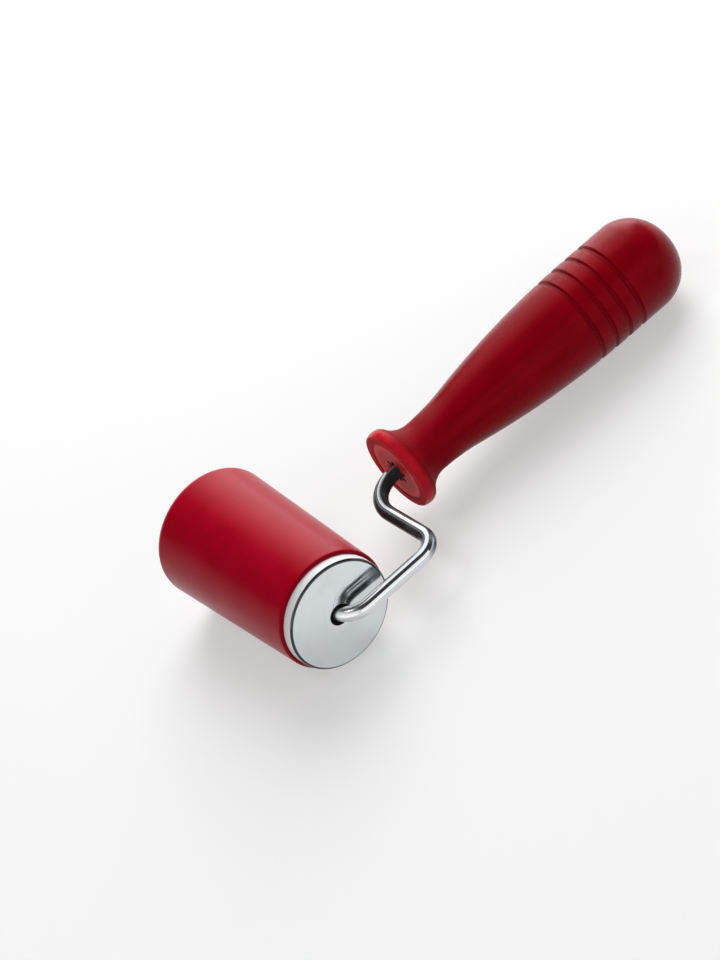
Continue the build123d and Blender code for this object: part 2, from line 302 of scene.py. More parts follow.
satinLook = {"deep": (0.325, 0.0008, 0.010), "lit": (0.375, 0.0018, 0.015), "shade": (0.15, 0.001, 0.006),
             "worn": (0.47, 0.010, 0.030), "gloss": 0.18, "glossTint": (1.0, 0.08, 0.12, 1.0),
             "cloud": (95.0, 4.0), "scuff": (1.0, 5.0, 0.62), "scuffStretch": (1.6, 1.6, 1.9),
             "grain": (2600.0, 2.0), "cloudShare": 0.7, "litPatch": (0.36, 0.64),
             "shadeFrom": 0.1, "shadeTo": 1.4, "shadeShare": 0.55,
             "wornFrom": 3.2, "wornTo": 0.9, "wornPatch": (0.3, 0.6, 0.35, 1.0),
             "rough": 0.31, "scuffRough": 0.12, "cloudRough": 0.05, "wornRough": 0.08,
             "grainShare": 0.6, "bump": (0.08, 0.0001)}


def satinRed(nearEnd, farEnd):
    # moulded satin plastic: cloudy red, fine scuffs round the roller, shade where the near cap meets it,
    # far edge rubbed
    look = satinLook
    f = Finish("satinRed", {"Specular IOR Level": look["gloss"], "Specular Tint": look["glossTint"]})
    wrap = f.mark("wrap", "Vector")
    along = f.add("ShaderNodeSeparateXYZ", None, {"Vector": wrap}, "Z")
    cloud = f.noise(f.place, *look["cloud"])
    scuff = f.noise(f.stretch(wrap, look["scuffStretch"]), *look["scuff"])
    grain = f.noise(f.place, *look["grain"])
    lit = f.between(mixed(cloud, scuff, look["cloudShare"]), *look["litPatch"])
    colour = f.tint(lit, look["deep"], look["lit"])
    shoulder = f.between(along, nearEnd + look["shadeFrom"], nearEnd + look["shadeTo"], 1.0, 0.0)
    colour = f.tint(shoulder * look["shadeShare"], colour, look["shade"])
    edge = f.between(along, farEnd - look["wornFrom"], farEnd - look["wornTo"])
    worn = edge * f.between(scuff, *look["wornPatch"])
    colour = f.tint(worn, colour, look["worn"])
    rough = look["rough"] + sway(scuff, look["scuffRough"]) + sway(cloud, look["cloudRough"])
    f.feed(Base_Color=colour, Roughness=rough + worn * look["wornRough"],
           Normal=f.bump(mixed(grain, scuff, look["grainShare"]), *look["bump"]))
    return f.material


# painted shade: the handle's reds are darker than the roller's same plastic; worn is rubbed wear and a painted
# highlight on the flange's crest
redLook = {"deep": (0.202, 0.0004, 0.0035), "lit": (0.255, 0.0010, 0.007), "shade": (0.05, 0.0005, 0.002),
           "worn": (0.50, 0.009, 0.022), "gloss": 0.2, "glossTint": (1.0, 0.10, 0.13, 1.0),
           "cloud": (70.0, 3.0), "flow": (1.0, 4.0, 0.55), "flowStretch": (3.0, 3.0, 0.035),
           "peel": (420.0, 2.0), "rub": (160.0, 5.0, 0.65), "cloudShare": 0.5, "litPatch": (0.35, 0.65),
           "wornPatch": (0.2, 0.6, 0.6, 1.0), "faceShare": 0.6, "sunkShare": 0.22,
           "rough": 0.27, "rubRough": 0.12, "sunkRough": 0.2, "faceRough": 0.76, "neckRough": 0.65,
           "peelShare": 0.7, "bump": (0.05, 0.0002)}


def glossRed():
    # glossy moulded plastic in a red painted darker than the roller's, as painted shade: long flow marks,
    # orange peel, shade down in the grooves, rim rubbed paler, the paler red also a painted highlight,
    # face painted the plug's paler red as painted light, face and neck dull
    look = redLook
    f = Finish("glossRed", {"Specular IOR Level": look["gloss"], "Specular Tint": look["glossTint"]})
    sunk, worn, face, neck = (f.mark(name) for name in ("sunk", "worn", "face", "neck"))
    cloud = f.noise(f.place, *look["cloud"])
    flow = f.noise(f.stretch(f.mark("wrap", "Vector"), look["flowStretch"]), *look["flow"])
    peel = f.noise(f.place, *look["peel"])
    rub = f.noise(f.place, *look["rub"])
    lit = f.between(mixed(cloud, flow, look["cloudShare"]), *look["litPatch"])
    # painted shade: the body's red is a darker copy of the roller's
    colour = f.tint(lit, look["deep"], look["lit"])
    # rubbed wear on the crest, its paler red also a painted highlight
    colour = f.tint(worn * f.between(rub, *look["wornPatch"]), colour, look["worn"])
    # painted light: the face takes the plug's paler red
    colour = f.tint(face * look["faceShare"], colour, plugLook["lit"])
    colour = f.tint(sunk * look["sunkShare"], colour, look["shade"])
    rough = look["rough"] + sway(rub, look["rubRough"]) + sunk * look["sunkRough"]
    rough = rough + face * (look["faceRough"] - look["rough"]) + neck * (look["neckRough"] - look["rough"])
    f.feed(Base_Color=colour, Roughness=rough,
           Normal=f.bump(mixed(peel, flow, look["peelShare"]), *look["bump"]))
    return f.material


# painted light: the plug's reds are paler than the grip's same plastic; shade is the painted shade in the star
plugLook = {"deep": (0.43, 0.013, 0.012), "lit": (0.58, 0.026, 0.024), "shade": (0.004, 0.001, 0.001),
            "worn": (0.84, 0.080, 0.075), "gloss": 0.2, "glossTint": (1.0, 0.40, 0.40, 1.0),
            "cloud": (180.0, 4.0), "rings": (3.5, 3.0), "cloudShare": 0.6, "litPatch": (0.36, 0.64),
            "wornReach": (7.0, 9.6), "wornPatch": (0.3, 0.6, 0.5, 1.0), "wornShare": 0.8,
            "rough": 0.56, "ringRough": 0.12, "sunkRough": 0.3, "bump": (0.05, 0.0001)}


def plugRed():
    # the sunk disc: the same plastic, painted paler than the grip as painted light, duller, faint rings
    # from its mould, rubbed paler outside, painted shade near black down in the star
    look = plugLook
    f = Finish("plugRed", {"Specular IOR Level": look["gloss"], "Specular Tint": look["glossTint"]})
    reach, sunk = f.mark("reach"), f.mark("sunk")
    cloud = f.noise(f.place, *look["cloud"])
    rings = f.rings(reach, *look["rings"])
    lit = f.between(mixed(cloud, rings, look["cloudShare"]), *look["litPatch"])
    # painted light: a paler copy of the grip's red
    colour = f.tint(lit, look["deep"], look["lit"])
    worn = f.between(reach, *look["wornReach"]) * f.between(cloud, *look["wornPatch"])
    colour = f.tint(worn * look["wornShare"], colour, look["worn"])
    # painted shade, near black, down in the star's slots
    colour = f.tint(sunk, colour, look["shade"])
    rough = look["rough"] + sway(rings, look["ringRough"]) + sunk * look["sunkRough"]
    f.feed(Base_Color=colour, Roughness=rough, Normal=f.bump(rings, *look["bump"]))
    return f.material


chromeLook = {"bright": (0.68, 0.70, 0.715), "dull": (0.58, 0.60, 0.61), "paintedDark": (0.024, 0.030, 0.032),
              "smear": (120.0, 4.0, 0.6), "hair": (1.0, 4.0, 0.6), "hairStretch": (9.0, 9.0, 0.05),
              "smearShare": 0.65, "dullPatch": (0.42, 0.75), "dullShare": 0.5, "dullMetal": 0.02,
              "paintedDarkPatch": (0.2, 0.6, 0.85, 1.0), "paintedDarkMetal": 0.88, "paintedDarkGloss": 0.1,
              "rough": 0.06, "mattRough": 0.27, "dullRough": 0.05, "hairRough": 0.03,
              "bump": (0.012, 0.00005)}


def wireChrome():
    # polished plate on drawn wire: faint smears and hairlines along it, a painted dark reflection
    # on its sheltered sides and round its bends, matt towards the axle
    look = chromeLook
    f = Finish("wireChrome", {"Specular IOR Level": look["paintedDarkGloss"]})
    smear = f.noise(f.place, *look["smear"])
    hair = f.noise(f.stretch(f.mark("wrap", "Vector"), look["hairStretch"]), *look["hair"])
    dull = f.between(mixed(smear, hair, look["smearShare"]), *look["dullPatch"])
    colour = f.tint(dull * look["dullShare"], look["bright"], look["dull"])
    # painted dark reflection: near-black, barely metal patches where the chrome would mirror the tool
    paintedDark = f.mark("paintedDark") * f.between(smear, *look["paintedDarkPatch"])
    rough = look["rough"] + f.mark("matt") * (look["mattRough"] - look["rough"])
    f.feed(Base_Color=f.tint(paintedDark, colour, look["paintedDark"]),
           Roughness=rough + dull * look["dullRough"] + sway(hair, look["hairRough"]),
           Metallic=1.0 - dull * look["dullMetal"] - paintedDark * look["paintedDarkMetal"],
           Normal=f.bump(hair, *look["bump"]))
    return f.material


capLook = {"bright": (0.72, 0.755, 0.775), "dull": (0.62, 0.65, 0.665), "rim": (0.05, 0.051, 0.053),
           "skirt": (0.80, 0.803, 0.806), "gloss": 0.5, "smear": (90.0, 4.0, 0.6), "rings": (9.0, 4.0),
           "lines": (1.0, 3.0, 0.6), "lineStretch": (1.2, 1.2, 14.0),
           "smearShare": 0.7, "dullPatch": (0.40, 0.75), "dullShare": 0.6, "dullMetal": 0.02,
           "skirtMetal": 0.75, "rough": 0.10, "dullRough": 0.05, "skirtRough": 0.62, "lineRough": 0.1,
           "bump": (0.012, 0.00005)}


def capChrome():
    # turned cap: polished face with faint rings, a painted dark reflection round the rim, pale satin skirt with
    # lines round it
    look = capLook
    f = Finish("capChrome", {"Specular IOR Level": look["gloss"]})
    reach, skirt, rim = (f.mark(name) for name in ("reach", "skirt", "rim"))
    smear = f.noise(f.place, *look["smear"])
    rings = f.rings(reach, *look["rings"])
    lines = f.noise(f.stretch(f.mark("wrap", "Vector"), look["lineStretch"]), *look["lines"])
    dull = f.between(mixed(smear, rings, look["smearShare"]), *look["dullPatch"])
    colour = f.tint(dull * look["dullShare"], look["bright"], look["dull"])
    # painted dark reflection: the rounded rim coloured near black all round
    colour = f.tint(rim, colour, look["rim"])
    colour = f.tint(skirt, colour, look["skirt"])
    faceRough = look["rough"] + dull * look["dullRough"]
    skirtRough = look["skirtRough"] + sway(lines, look["lineRough"])
    f.feed(Base_Color=colour, Roughness=faceRough * (1 - skirt) + skirt * skirtRough,
           Metallic=1.0 - dull * look["dullMetal"] - skirt * look["skirtMetal"],
           Normal=f.bump(rings * (1 - skirt) + lines * skirt, *look["bump"]))
    return f.material


paleLook = {"deep": (0.56, 0.55, 0.51), "lit": (0.66, 0.65, 0.61), "gloss": 0.4, "cloud": (140.0, 4.0),
            "grain": (1800.0, 2.0), "litPatch": (0.35, 0.65), "rough": 0.5, "cloudRough": 0.15,
            "bump": (0.08, 0.0001)}


def paleMoulding():
    # plain mouldings inside the roller: cloudy off-white with a fine mould grain
    look = paleLook
    f = Finish("paleMoulding", {"Specular IOR Level": look["gloss"]})
    cloud = f.noise(f.place, *look["cloud"])
    grain = f.noise(f.place, *look["grain"])
    f.feed(Base_Color=f.tint(f.between(cloud, *look["litPatch"]), look["deep"], look["lit"]),
           Roughness=look["rough"] + sway(cloud, look["cloudRough"]), Normal=f.bump(grain, *look["bump"]))
    return f.material


steelLook = {"bright": (0.62, 0.62, 0.64), "dull": (0.42, 0.42, 0.44), "gloss": 0.5,
             "streak": (1.0, 4.0, 0.6), "streakStretch": (160.0, 2200.0, 2200.0), "spot": (500.0, 3.0),
             "streakShare": 0.6, "dullPatch": (0.35, 0.65), "spotMetal": 0.05,
             "rough": 0.3, "streakRough": 0.2, "bump": (0.06, 0.00005)}


def springSteel():
    # stamped washers and push nuts: bright steel with rolled streaks
    look = steelLook
    f = Finish("springSteel", {"Specular IOR Level": look["gloss"]})
    streak = f.noise(f.stretch(f.place, look["streakStretch"]), *look["streak"])
    spot = f.noise(f.place, *look["spot"])
    dull = f.between(mixed(streak, spot, look["streakShare"]), *look["dullPatch"])
    f.feed(Base_Color=f.tint(dull, look["bright"], look["dull"]),
           Roughness=look["rough"] + sway(streak, look["streakRough"]),
           Metallic=1.0 - spot * look["spotMetal"], Normal=f.bump(streak, *look["bump"]))
    return f.material


# roller: sleeve and its two caps, sizes along the axle and out from it

roller = {"nearEnd": -28.2, "farEnd": 35.2, "nearR": 19.1, "farR": 21.05, "nearRound": 0.99, "farRound": 2.5,
          "nearEdge": 0.05, "farEdge": 0.15, "seatR": 18.0, "boreR": 17.05, "tuck": 4.0}


def sleeveGrid():
    # tapered tube turned round the axle: rounded ends, a wider seat for a cap inside each end
    r = roller
    nearTuck, farTuck = r["nearEnd"] + r["tuck"], r["farEnd"] - r["tuck"]
    line = roundedLine(
        [(r["nearEnd"], r["seatR"]), (r["nearEnd"], r["nearR"] - slim), (r["farEnd"], r["farR"] - slim),
         (r["farEnd"], r["seatR"]), (farTuck, r["seatR"]), (farTuck, r["boreR"]),
         (nearTuck, r["boreR"]), (nearTuck, r["seatR"])],
        [r["nearEdge"], r["nearRound"], r["farRound"], r["farEdge"], 0, 0, 0, 0], loop=True)
    return turned(rollerSpot, rollerWay, line[:, 0], line[:, 1], grid["turns"])


sleeve = skin("rollerSleeve", *sleeveGrid())
dress(sleeve, satinRed(roller["nearEnd"], roller["farEnd"]), "roller", "red_satin", "roller_sleeve")

cap = {"r": 17.95, "wall": 0.9, "round": 1.0, "holeR": 3.5, "lip": 0.3, "edge": 0.15, "corner": 0.2,
       "nearFace": -31.8, "farFace": 36.2, "nearSkirt": 7.6, "farSkirt": 5.0, "rimHold": 2.6,
       "satinFrom": 66, "satinOver": 10, "rimAt": 40, "rimOver": 14}  # degrees round the rim's arc


def capGrid(face, inward, skirt, holeR):
    # cup section turned round the axle: flat face, rounded rim, skirt, and a hole when there is one
    inner, outer = cap["r"] - cap["wall"], cap["r"] - slim
    lip = cap["lip"] if holeR else 0
    line = roundedLine([(0, holeR), (0, outer), (skirt, outer), (skirt, inner),
                        (cap["wall"], inner), (cap["wall"], holeR)],
                       [lip, cap["round"], cap["edge"], cap["edge"], cap["corner"], lip], loop=bool(holeR))
    ends = line[[0, -1]]
    if not holeR:
        line = line[1:-1]
    points, marks = turned(rollerSpot, rollerWay, face + inward * line[:, 0], line[:, 1], grid["turns"])
    outside = line[:, 1] > inner + grid["touch"]
    swing = np.degrees(np.arctan2(line[:, 1] - cap["r"] + cap["round"], cap["round"] - line[:, 0]))
    satin = np.clip((swing - cap["satinFrom"]) / cap["satinOver"], 0, 1)
    # the painted dark reflection's place on the rim's arc
    rim = np.clip(cap["rimHold"] - np.abs(swing - cap["rimAt"]) / cap["rimOver"], 0, 1)
    marks["skirt"] = allRound(satin * outside, points)
    marks["rim"] = allRound(rim * outside, points)
    poles = None if holeR else rollerSpot + mm * np.outer(face + inward * ends[:, 0], rollerWay)
    return points, marks, poles


capFinish = capChrome()
nearCap = skin("nearCap", *capGrid(cap["nearFace"], 1, cap["nearSkirt"], cap["holeR"]))
dress(nearCap, capFinish, "roller", "chrome", "near_end_cap")
farCap = skin("farCap", *capGrid(cap["farFace"], -1, cap["farSkirt"], 0.0))
dress(farCap, capFinish, "roller", "chrome", "far_end_cap")

# bent wire, its corners from the middle of the roller; runs are measured along it from the tail
# a painted dark reflection lies inside the first bend, on the crossing's two sheltered sides, round the
# outside of the second bend and where the leg faces the cap: run is where that fades in and out, sine is
# the sine of the angle round the wire where it starts and where it is full

wire = {"r": 2.4, "chamfer": 0.5, "tail": 91.75, "crossing": 35.5, "legReach": 36.3, "legTop": -36.2,
        "legFoot": -36.7, "axleEnd": 34.5, "bends": (12.2, 7.2, 7.7), "turns": 96,
        "earFrom": -28.493, "earLength": 1.4, "earReach": 3.15, "earThick": 1.2,
        "keyFrom": 49.95, "keyLength": 3.5, "keyReach": 3.7, "keyThick": 1.1, "mattRun": (110, 119),
        # where the painted dark reflection lies on the wire
        "paintedDark": [{"run": (40, 43, 62, 69), "sine": (-0.2, 0.35), "amount": 1.0},
                 {"run": (50, 57, 82, 87), "sine": (0.15, 0.55), "amount": 1.0},
                 {"run": (44, 49, 84, 92), "sine": (-0.15, -0.55), "amount": 1.0},
                 {"run": (78, 82, 85, 91), "sine": (0.8, 0.96), "amount": 1.0},
                 {"run": (88, 94, 103, 108), "sine": (0.12, -0.25), "amount": 0.88},
                 {"run": (103, 108, 118, 124), "sine": (-0.78, -0.93), "amount": 0.95}]}


# share of the painted dark reflection at each row and column
def paintedDarkShare(spots, u, run, sine, amount):
    # amount * (eased in and out along the run) * (eased by the sine of u)
    start, full, ebb, end = run
    return amount * np.outer(eased(spots, start, full) * eased(spots, end, ebb), eased(np.sin(u), *sine))


def wireGrid():
    # a circle carried along the bent line in the tool's plane; over the pinched ears and the tail's key
    # its radius is a bar's polar outline
    w = wire
    r = w["r"] - slim
    flat = roundedLine([(w["tail"], 0), (w["crossing"], 0), (w["legReach"], w["legTop"]), (0, w["legFoot"]),
                        (0, w["axleEnd"])], [0, *w["bends"], 0])
    run = np.concatenate([[0], np.cumsum(np.linalg.norm(np.diff(flat, axis=0), axis=1))])
    heading = np.gradient(flat, run, axis=0)
    keyEnd = w["tail"] - w["keyFrom"]
    earStart = run[-1] - (w["axleEnd"] - w["earFrom"])
    key, ear = (keyEnd - w["keyLength"], keyEnd), (earStart, earStart + w["earLength"])

    # at each end of key and ear two rows share one spot, told apart by their order
    ends = np.array([w["chamfer"], run[-1] - w["chamfer"]])
    spots = np.concatenate([run, ends, np.repeat(key, 2), np.repeat(ear, 2)])
    order = np.concatenate([np.zeros(len(run) + len(ends)), np.tile([0, 1], len(key) + len(ear))])
    rank = np.lexsort((order, spots))
    spots, order = spots[rank], order[rank]

    def within(start, end):
        amid = (spots > start) & (spots < end)
        rows = amid | ((spots == start) & (order == 1)) | ((spots == end) & (order == 0))
        return rows[:, None]

    u = np.linspace(0, 2 * np.pi, w["turns"], endpoint=False)
    keyR = np.maximum(barReach(u, w["keyReach"], w["keyThick"], 1), r)
    earR = np.maximum(barReach(u, w["earReach"], w["earThick"], 1), r)
    radii = np.where(within(*key), keyR, np.where(within(*ear), earR, r))
    nearTip = np.minimum(spots, run[-1] - spots)
    radii = radii - np.maximum(w["chamfer"] - nearTip, 0)[:, None]
    centre = np.stack([np.interp(spots, run, flat[:, n]) for n in (0, 1)], -1)
    way = np.stack([np.interp(spots, run, heading[:, n]) for n in (0, 1)], -1)
    way /= np.linalg.norm(way, axis=1, keepdims=True)
    axes = np.stack([handleWay, rollerWay])
    side = (way[:, ::-1] * (-1, 1)) @ axes
    ring = np.cos(u)[None, :, None] * planeWay + np.sin(u)[None, :, None] * side[:, None]
    points = rollerSpot + mm * ((centre @ axes)[:, None] + radii[:, :, None] * ring)
    marks = {"wrap": np.stack(np.broadcast_arrays(np.cos(u), np.sin(u), spots[:, None]), -1),
             # the painted dark reflection's share round the wire
             "paintedDark": np.maximum.reduce([paintedDarkShare(spots, u, **patch) for patch in w["paintedDark"]]),
             "matt": allRound(eased(spots, *w["mattRun"]), points)}
    return points, marks, rollerSpot + mm * (centre[[0, -1]] @ axes)


dress(skin("bentWire", *wireGrid()), wireChrome(), "frame", "chrome", "frame_rod")

# handle: grip, butt cap and front plug, sizes along the handle from its face and out from its axis

handle = {"face": 48.55, "length": 114.1, "flangeR": 13.925, "flangeRound": 0.45, "crown": 5.0, "crest": 2.2,
          "backRound": 3.1, "neckR": 8.85, "neckAt": 12.1, "hollow": 80.0, "gripR": 15.475, "band": 16.0,
          "inset": 2.1, "noseAngle": np.radians(5.0), "wall": 2.8, "boreR": 2.45, "snug": 0.05,
          "grooves": 4, "pitch": 5.7, "setback": 10.4, "mouth": 1.6, "floor": 0.9, "depth": 0.7, "ease": 0.25,
          "turns": 160}
plug = {"r": 10.4, "recess": 0.2, "thick": 3.0, "bossR": 5.5, "bossLength": 9.0, "starReach": 4.1,
        "slotWide": 1.5, "slotPairs": 4, "starDeep": 6.0, "edge": 0.2, "rimEdge": 0.08, "turns": 384,
        "rows": (3, 8, 2, 10, 2, 4, 6, 10, 4, 8)}

faceSpot = rollerSpot + mm * handle["face"] * handleWay
corner = handle["gripR"] - handle["inset"]
nose = corner + handle["inset"] / np.sin(handle["noseAngle"])
domeFrom = handle["length"] - nose + (nose - corner) * np.cos(handle["noseAngle"])
gripFrom = domeFrom - handle["band"]
lastGroove = domeFrom - handle["setback"]
jointAt = lastGroove - handle["floor"] / 2
mouthEnd = plug["recess"] + plug["thick"]
bossEnd = mouthEnd + plug["bossLength"]


def gripRadius(x):
    # crowned rim, arc behind the flange, neck fillet, long hollow, long swell and band,
    # each arc tangent to the next: its end radius, less or plus r - sqrt(r r - off off)
    h = handle
    flangeTurn = 2 * np.arctan((h["flangeR"] - h["neckR"]) / (h["neckAt"] - h["crest"]))
    fillet = (h["neckAt"] - h["crest"]) / np.sin(flangeTurn) - h["backRound"]
    bodyTurn = 2 * np.arctan((h["gripR"] - h["neckR"]) / (gripFrom - h["neckAt"]))
    swell = (gripFrom - h["neckAt"]) / np.sin(bodyTurn) - h["hollow"]
    backEnd = h["crest"] + h["backRound"] * np.sin(flangeTurn)
    hollowEnd = h["neckAt"] + h["hollow"] * np.sin(bodyTurn)

    def drop(radius, off):
        return radius - np.sqrt(np.maximum(radius**2 - off**2, 0))

    stages = [(x < h["crest"], h["flangeR"] - drop(h["crown"], h["crest"] - x)),
              (x < backEnd, h["flangeR"] - drop(h["backRound"], x - h["crest"])),
              (x < h["neckAt"], h["neckR"] + drop(fillet, h["neckAt"] - x)),
              (x < hollowEnd, h["neckR"] + drop(h["hollow"], x - h["neckAt"])),
              (x < gripFrom, h["gripR"] - drop(swell, gripFrom - x))]
    return np.select([s[0] for s in stages], [s[1] for s in stages], h["gripR"])


def grooveSink(x):
    # share of a groove's depth at x: flat floor, walls eased in and out
    places = lastGroove - handle["pitch"] * np.arange(handle["grooves"])
    off = np.abs(x[:, None] - places).min(1)
    return eased(off, handle["mouth"] / 2 + handle["ease"], handle["floor"] / 2)


# the worn keys place the crest's rubbed wear and painted highlight
grip = {"bulkhead": 38.0, "mouthEdge": 0.08, "wornAt": 1.0, "wornOver": 1.9, "wornHold": 1.5,
        "wornClear": 1.0, "neckFrom": (2.4, 3.8), "neckTo": (24.0, 12.0),
        "grooveReach": 1.3, "endReach": 1.2, "edgeRows": 9, "crownRows": 14, "neckRows": 60,
        "bodyRows": 110, "grooveRows": 34, "endRows": 16, "cavityRows": 50}


def gripGrid():
    # section turned round the handle: rounded face edge, outside by gripRadius less the grooves,
    # joint, cavity that follows the outside a wall inside it, bore and the plug's seat
    h, g = handle, grip
    crownTurn = np.arcsin((h["crest"] - h["flangeRound"]) / (h["crown"] - h["flangeRound"]))
    edgeR = h["flangeR"] - h["crown"] + (h["crown"] - h["flangeRound"]) * np.cos(crownTurn) - slim
    turn = np.linspace(np.pi, np.pi / 2 + crownTurn, g["edgeRows"])
    edge = np.stack([h["flangeRound"] * (1 + np.cos(turn)), edgeR + h["flangeRound"] * np.sin(turn)], -1)

    places = lastGroove - h["pitch"] * np.arange(1, h["grooves"])
    nearGrooves = places[:, None] + np.linspace(-g["grooveReach"], g["grooveReach"], g["grooveRows"])
    x = np.concatenate([np.linspace(edge[-1, 0], h["crest"], g["crownRows"]),
                        np.linspace(h["crest"], h["neckAt"], g["neckRows"]),
                        np.linspace(h["neckAt"], jointAt, g["bodyRows"]), nearGrooves.ravel(),
                        np.linspace(jointAt - g["endReach"], jointAt, g["endRows"])])
    x = np.unique(np.round(x, grid["digits"]))
    sink = grooveSink(x)
    outer = np.stack([x, gripRadius(x) - slim - h["depth"] * sink], -1)

    cavityX = np.linspace(gripFrom, g["bulkhead"], g["cavityRows"])
    cavity = np.stack([cavityX, gripRadius(cavityX) - h["wall"]], -1)
    bossR, seatR = plug["bossR"] + h["snug"], plug["r"] + h["snug"]
    tail = roundedLine([cavity[-1], (g["bulkhead"], h["boreR"]), (bossEnd, h["boreR"]), (bossEnd, bossR),
                        (mouthEnd, bossR), (mouthEnd, seatR), (0, seatR), edge[0]],
                       [0, 0, 0, 0, 0, 0, g["mouthEdge"], 0])
    joint = roundedLine([outer[-1], (jointAt, h["gripR"] - h["wall"]), cavity[0]], [0, 0, 0])
    line = np.vstack([outer, joint[1:-1], cavity[:-1], tail[:-1], edge[:-1]])

    points, marks = turned(faceSpot, handleWay, line[:, 0], line[:, 1], h["turns"])
    # the flange's crest: rubbed wear and a painted highlight
    worn = np.clip(g["wornHold"] - np.abs(line[:, 0] - g["wornAt"]) / g["wornOver"], 0, 1)
    neck = eased(line[:, 0], *g["neckFrom"]) * eased(line[:, 0], *g["neckTo"])
    marks["sunk"] = allRound(np.concatenate([sink, np.zeros(len(line) - len(x))]), points)
    marks["worn"] = allRound(worn * (line[:, 1] > plug["r"] + g["wornClear"]), points)
    # the flat face: dull, and painted the plug's paler red as painted light
    marks["face"] = allRound((line[:, 0] < grid["touch"]).astype(float), points)
    marks["neck"] = allRound(neck, points)
    return points, marks


butt = {"wall": 2.4, "spigotGap": 0.3, "spigotRound": 0.3, "noseRows": 10, "cornerRows": 48,
        "grooveReach": 2.4, "grooveRows": 30, "bandRows": 14, "hollowRows": 24}


def buttGrid():
    # domed end: nose arc, corner arc and band outside, collar and spigot in the grip, round hollow inside
    h, b = handle, butt
    t = np.linspace(np.pi / 2, np.pi / 2 - h["noseAngle"], b["noseRows"])[1:]
    noseArc = np.stack([h["length"] - nose + nose * np.sin(t), nose * np.cos(t)], -1)
    t = np.linspace(np.pi / 2 - h["noseAngle"], 0, b["cornerRows"])[1:]
    cornerArc = np.stack([domeFrom + corner * np.sin(t), h["inset"] + corner * np.cos(t)], -1)
    grooveEnd = jointAt + b["grooveReach"]
    x = np.concatenate([np.linspace(jointAt, grooveEnd, b["grooveRows"]),
                        np.linspace(grooveEnd, domeFrom, b["bandRows"])])
    x = np.unique(np.round(x, grid["digits"]))[::-1][1:]
    sink = grooveSink(x)
    band = np.stack([x, h["gripR"] - h["depth"] * sink], -1)

    spigotR = h["gripR"] - h["wall"] - h["snug"]
    hollowR = spigotR - b["wall"]
    spigotFrom = gripFrom + b["spigotGap"]
    stem = roundedLine([band[-1], (jointAt, spigotR), (spigotFrom, spigotR), (spigotFrom, hollowR),
                        (domeFrom, hollowR)], [0, 0, b["spigotRound"], b["spigotRound"], 0])
    t = np.linspace(0, np.pi / 2, b["hollowRows"])[1:-1]
    hollow = np.stack([domeFrom + hollowR * np.sin(t), hollowR * np.cos(t)], -1)
    dome = np.vstack([noseArc, cornerArc]) - slim
    line = np.vstack([dome, band - (0, slim), stem[1:], hollow])

    points, marks = turned(faceSpot, handleWay, line[:, 0], line[:, 1], h["turns"])
    sunk = np.concatenate([np.zeros(len(dome)), sink, np.zeros(len(stem) - 1 + len(hollow))])
    marks["sunk"] = allRound(sunk, points)
    marks["worn"] = marks["face"] = marks["neck"] = np.zeros(points.shape[:2])
    poles = faceSpot + mm * np.outer([h["length"] - slim, domeFrom + hollowR], handleWay)
    return points, marks, poles


def plugGrid():
    # stepped disc: key rows of (along, radius) joined by straight runs;
    # the star's wall follows the bars' polar outline
    p = plug
    u = np.linspace(0, 2 * np.pi, p["turns"], endpoint=False)
    star = np.maximum(barReach(u, p["starReach"], p["slotWide"], p["slotPairs"]), handle["boreR"])
    front, edge = p["recess"], p["edge"]
    starEnd = front + p["starDeep"]
    keys = [(starEnd, handle["boreR"]), (starEnd, star), (front + edge, star), (front, star + edge),
            (front, p["r"] - p["rimEdge"]), (front + p["rimEdge"], p["r"]), (mouthEnd, p["r"]),
            (mouthEnd, p["bossR"]), (bossEnd, p["bossR"]), (bossEnd, handle["boreR"])]
    alongs, radii = [], []
    for (a, r), (b, q), rows in zip(keys, keys[1:] + keys[:1], p["rows"]):
        t = np.arange(rows) / rows
        alongs.append(a + (b - a) * t)
        radii.append(np.broadcast_to(r + (q - r) * t[:, None], (rows, p["turns"])))
    alongs, radii = np.concatenate(alongs), np.vstack(radii)
    points, marks = turned(faceSpot, handleWay, alongs, radii, p["turns"])
    # where the painted shade lies: down in the star's slots
    marks["sunk"] = np.clip((alongs[:, None] - front) / edge, 0, 1) * (radii < p["starReach"] + edge)
    return points, marks


redGloss = glossRed()
dress(skin("gripBody", *gripGrid()), redGloss, "frame", "red_gloss", "grip_body")
dress(skin("buttCap", *buttGrid()), redGloss, "frame", "red_gloss", "butt_cap")
dress(skin("frontPlug", *plugGrid()), plugRed(), "frame", "red_gloss", "front_plug")

# the pieces inside keep their solids and get their own finishes
innerPieces = [(paleMoulding(), ["roller_core", "near_hub", "far_hub", "near_bush", "far_bush"]),
               (springSteel(), ["shoulder_washer", "end_washer", "axle_push_nut", "tail_washer",
                                "tail_push_nut"])]
for finish, nodes in innerPieces:
    for node in nodes:
        for place in frame["nodes"][node].material_slots:
            place.material = finish
print("inner pieces finished")

# floor, light and camera, in metres and watts

floorLook = {"middle": 0.1, "flat": 2.2, "sweep": 1.0, "rise": np.radians(60.0), "flatRows": 12,
             "sweepRows": 16, "turns": 96, "colour": (0.47, 0.47, 0.47), "patch": 0.008, "shade": (6.0, 2.0),
             "rough": 0.9, "lift": (0.42, 0.42, 0.42), "near": 0.45, "far": 1.25}
black, white = (0.0, 0.0, 0.0), (1.0, 1.0, 1.0)


